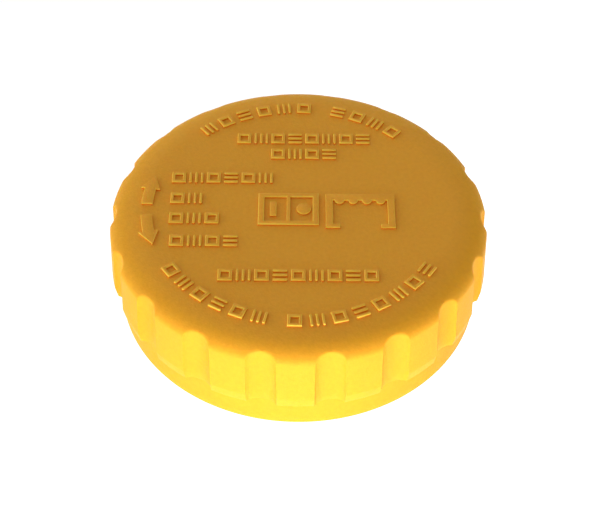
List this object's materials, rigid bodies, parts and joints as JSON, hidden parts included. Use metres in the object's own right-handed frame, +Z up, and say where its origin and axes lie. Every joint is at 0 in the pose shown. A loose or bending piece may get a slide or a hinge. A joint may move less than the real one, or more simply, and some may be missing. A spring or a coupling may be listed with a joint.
{
  "type": "coolant expansion tank pressure cap",
  "caption": "Round fluted screw cap with an inside thread, a swivelling sealed plug, and sprung pressure and vacuum relief valves.",
  "frame": {"origin": "centre of the valve insert's lower end, on which the cap stands", "axes": "+Z up along the screw axis, out of the top face; +X along the rows of raised marks"},
  "size_m": [0.0638, 0.064, 0.0265],
  "materials": {
    "cover_plastic": "amber-yellow moulded plastic with a fine satin texture",
    "housing_plastic": "black glass-filled moulding",
    "white_plastic": "natural low-friction plastic",
    "seal_rubber": "smooth moulded rubber",
    "spring_steel": "drawn wire and strip",
    "stainless_steel": "pressed sheet",
    "brass": "turned"
  },
  "bodies": {
    "valve_insert": {"valve_housing": "housing_plastic", "housing_lid": "housing_plastic", "lid_clip": "spring_steel", "spring_seat": "stainless_steel", "pressure_spring": "spring_steel", "neck_o_ring": "seal_rubber", "face_seal": "seal_rubber", "slip_ring": "white_plastic", "inlet_screen": "housing_plastic", "seat_gasket": "seal_rubber", "seat_ring": "brass"},
    "cover": {"cap_cover": "cover_plastic"},
    "pressure_valve": {"pressure_plate": "stainless_steel", "pressure_seal": "seal_rubber", "seal_retainer": "stainless_steel", "stem_guide": "white_plastic", "vacuum_spring": "spring_steel"},
    "vacuum_valve": {"vacuum_poppet": "brass", "vacuum_seal": "seal_rubber", "stem_clip": "spring_steel"}
  },
  "joints": [
    {"name": "cover_turn", "type": "hinge", "parent": "valve_insert", "child": "cover", "pos_m": [0, 0, 0.0215], "axis": [0, 0, 1], "continuous": true},
    {"name": "pressure_valve_lift", "type": "slide", "parent": "valve_insert", "child": "pressure_valve", "axis": [0, 0, 1], "range_m": [0, 0.0015], "stiffness_N_per_m": 2650, "springref_m": -0.0166, "deforming": ["pressure_spring"]},
    {"name": "vacuum_valve_drop", "type": "slide", "parent": "pressure_valve", "child": "vacuum_valve", "axis": [0, 0, -1], "range_m": [0, 0.001], "stiffness_N_per_m": 600, "springref_m": -0.0007, "deforming": ["vacuum_spring"]}
  ]
}
